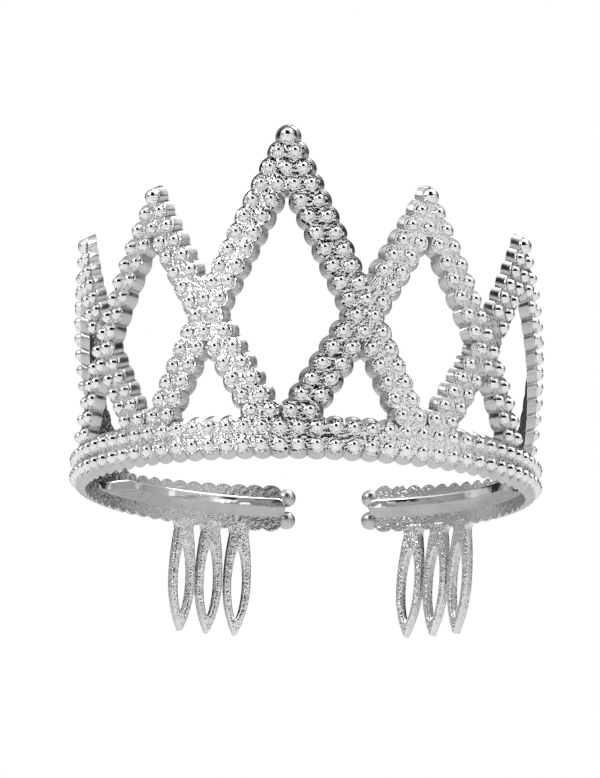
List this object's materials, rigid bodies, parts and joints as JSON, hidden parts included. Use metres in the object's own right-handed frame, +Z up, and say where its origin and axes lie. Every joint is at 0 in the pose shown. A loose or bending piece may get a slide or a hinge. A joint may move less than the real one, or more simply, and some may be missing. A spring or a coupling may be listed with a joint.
{
  "type": "crown",
  "caption": "Silver beaded lattice crown with pointed peaks on a headband, whose springy rear arms carry small looped comb teeth",
  "frame": {"origin": "On the axis of the ring, level with the lower bead row, where the crown sits on the head", "axes": "+Z up through the peaks, -Y to the front peak, +Y to the gap between the arms, +X to the wearer's left"},
  "size_m": [0.1068, 0.1054, 0.0984],
  "materials": {
    "frame_chrome": "metallised silver plastic, satin underside",
    "bead_chrome": "metallised silver plastic, polished",
    "tooth_chrome": "metallised silver plastic, pebbled"
  },
  "bodies": {
    "crown_frame": {"headband": "frame_chrome", "headband_lower_beads": "bead_chrome", "headband_upper_beads": "bead_chrome", "left_centre_bar": "frame_chrome", "left_centre_bar_beads": "bead_chrome", "left_inner_front_bar_lower": "frame_chrome", "left_inner_front_bar_lower_beads": "bead_chrome", "left_inner_front_bar_upper": "frame_chrome", "left_inner_front_bar_upper_beads": "bead_chrome", "left_inner_rear_bar": "frame_chrome", "left_inner_rear_bar_beads": "bead_chrome", "left_outer_front_bar_lower": "frame_chrome", "left_outer_front_bar_lower_beads": "bead_chrome", "left_outer_front_bar_upper": "frame_chrome", "left_outer_front_bar_upper_beads": "bead_chrome", "left_outer_rear_bar": "frame_chrome", "left_outer_rear_bar_beads": "bead_chrome", "left_side_rail": "frame_chrome", "peak_tip_beads": "bead_chrome", "right_centre_bar": "frame_chrome", "right_centre_bar_beads": "bead_chrome", "right_inner_front_bar_lower": "frame_chrome", "right_inner_front_bar_lower_beads": "bead_chrome", "right_inner_front_bar_upper": "frame_chrome", "right_inner_front_bar_upper_beads": "bead_chrome", "right_inner_rear_bar": "frame_chrome", "right_inner_rear_bar_beads": "bead_chrome", "right_outer_front_bar_lower": "frame_chrome", "right_outer_front_bar_lower_beads": "bead_chrome", "right_outer_front_bar_upper": "frame_chrome", "right_outer_front_bar_upper_beads": "bead_chrome", "right_outer_rear_bar": "frame_chrome", "right_outer_rear_bar_beads": "bead_chrome", "right_side_rail": "frame_chrome"},
    "left_arm": {"left_arm": "frame_chrome", "left_arm_lower_beads": "bead_chrome", "left_arm_rail": "frame_chrome", "left_arm_tip_balls": "bead_chrome", "left_arm_upper_beads": "bead_chrome", "left_comb_tooth_1": "tooth_chrome", "left_comb_tooth_2": "tooth_chrome", "left_comb_tooth_3": "tooth_chrome"},
    "right_arm": {"right_arm": "frame_chrome", "right_arm_lower_beads": "bead_chrome", "right_arm_rail": "frame_chrome", "right_arm_tip_balls": "bead_chrome", "right_arm_upper_beads": "bead_chrome", "right_comb_tooth_1": "tooth_chrome", "right_comb_tooth_2": "tooth_chrome", "right_comb_tooth_3": "tooth_chrome"}
  },
  "joints": [
    {"name": "left_arm_flex", "type": "hinge", "parent": "crown_frame", "child": "left_arm", "pos_m": [-0.04431, 0.02721, 0.0019], "axis": [0, 0, 1], "range_deg": [0, 8], "stiffness_Nm_per_rad": 0.15},
    {"name": "right_arm_flex", "type": "hinge", "parent": "crown_frame", "child": "right_arm", "pos_m": [0.04431, 0.02721, 0.0019], "axis": [0, 0, -1], "range_deg": [0, 8], "stiffness_Nm_per_rad": 0.15}
  ]
}
